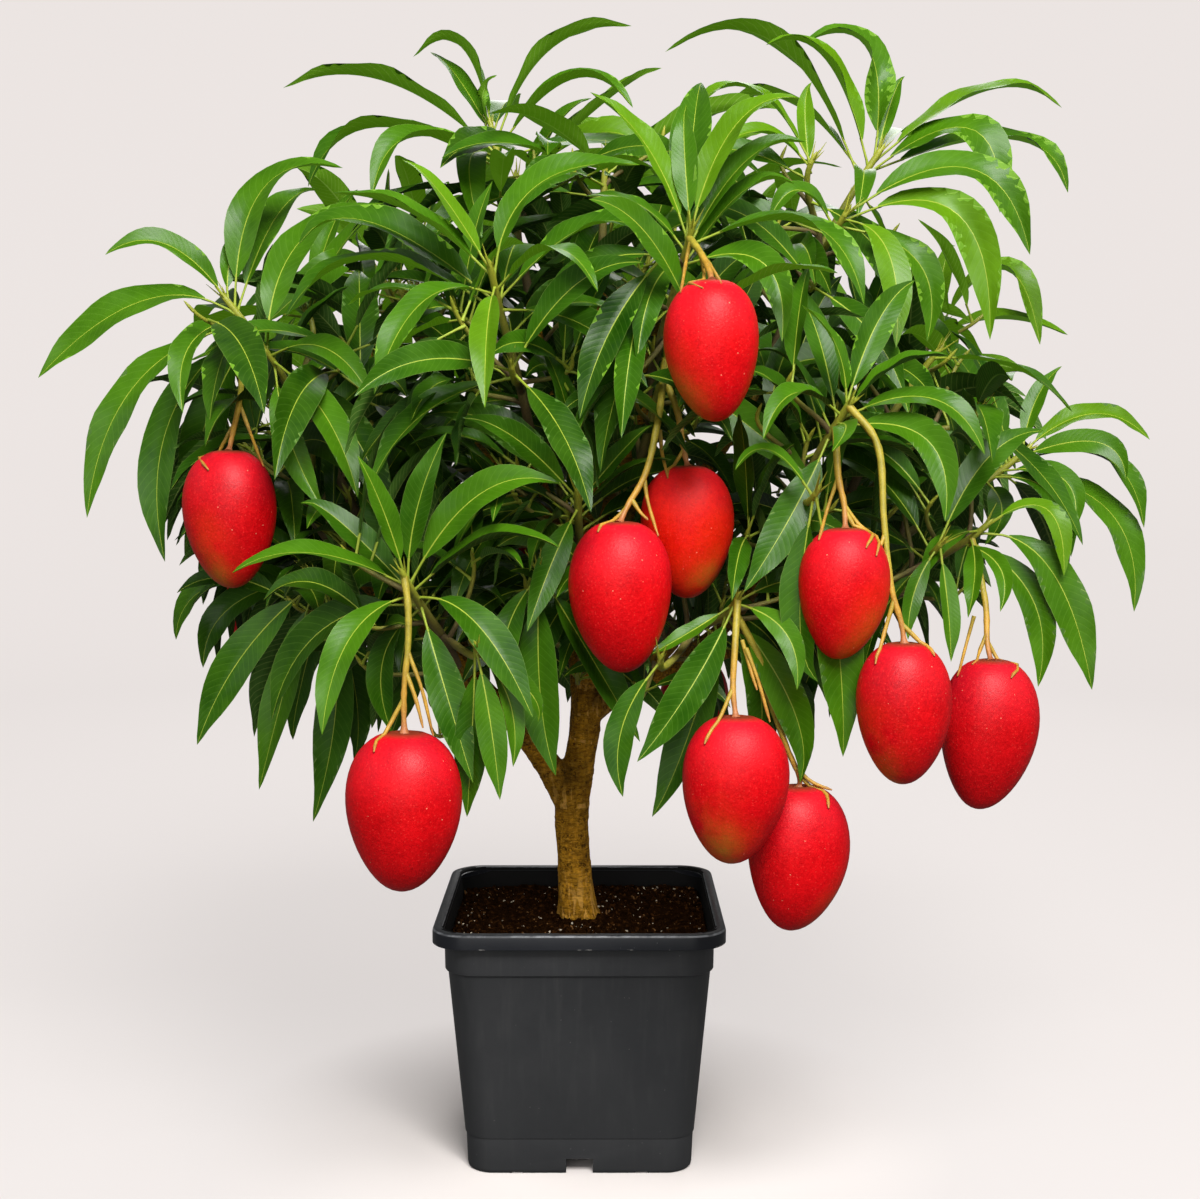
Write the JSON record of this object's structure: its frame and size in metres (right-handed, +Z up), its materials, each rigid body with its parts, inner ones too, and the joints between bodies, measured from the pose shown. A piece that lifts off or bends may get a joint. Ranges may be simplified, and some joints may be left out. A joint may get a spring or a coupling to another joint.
{
  "type": "potted mango tree",
  "caption": "Young mango tree with a full leafy crown and hanging ripe fruit, growing in a square nursery pot",
  "frame": {"origin": "centre of the flat underside of the pot, on the floor", "axes": "+Z up along the trunk, -Y towards the front of the plant, +X to its right as seen from the front; the pot's sides face along X and Y"},
  "size_m": [0.9154, 0.8353, 1.0052],
  "materials": {
    "pot_plastic": "moulded charcoal plastic, satin, with a slightly glossier rim",
    "potting_soil": "dark crumbly potting mix with bark bits and pale perlite",
    "bark": "light ochre-brown bark with fine cross cracks and darker crotches",
    "foliage": "glossy mid to deep green leaves, paler beneath, on yellow-green stalks",
    "fruiting_foliage": "the same green leaves, with waxy crimson fruit on ochre stalks"
  },
  "bodies": {
    "root": {"pot": "pot_plastic", "soil": "potting_soil", "trunk": "bark", "bough_left_high": "bark", "bough_right_high": "bark", "bough_front_mid": "bark", "bough_back_mid": "bark", "bough_front_high_left": "bark", "bough_front_high_mid": "bark", "bough_top_right": "bark", "bough_top_left": "bark", "bough_top_mid": "bark", "bough_back_high_left": "bark", "bough_back_top": "bark", "bough_front_centre": "bark", "bough_front_low_right": "bark", "bough_left_low": "bark", "bough_left_mid": "bark", "bough_front_low_left": "bark", "bough_back_left": "bark", "bough_back_low_left": "bark", "bough_right_low": "bark", "bough_right_mid": "bark", "bough_front_right": "bark", "bough_right_back": "bark", "bough_back_right": "bark", "bough_back_low_right": "bark", "foliage_left_high": "fruiting_foliage", "foliage_right_high": "foliage", "foliage_front_mid": "foliage", "foliage_back_mid": "fruiting_foliage", "foliage_front_high_left": "foliage", "foliage_front_high_mid": "fruiting_foliage", "foliage_top_right": "foliage", "foliage_top_left": "foliage", "foliage_top_mid": "foliage", "foliage_back_high_left": "fruiting_foliage", "foliage_back_top": "foliage", "foliage_front_centre": "fruiting_foliage", "foliage_front_low_right": "fruiting_foliage", "foliage_left_low": "foliage", "foliage_left_mid": "foliage", "foliage_front_low_left": "fruiting_foliage", "foliage_back_left": "fruiting_foliage", "foliage_back_low_left": "foliage", "foliage_right_low": "fruiting_foliage", "foliage_right_mid": "foliage", "foliage_front_right": "fruiting_foliage", "foliage_right_back": "foliage", "foliage_back_right": "fruiting_foliage", "foliage_back_low_right": "fruiting_foliage"}
  },
  "joints": []
}
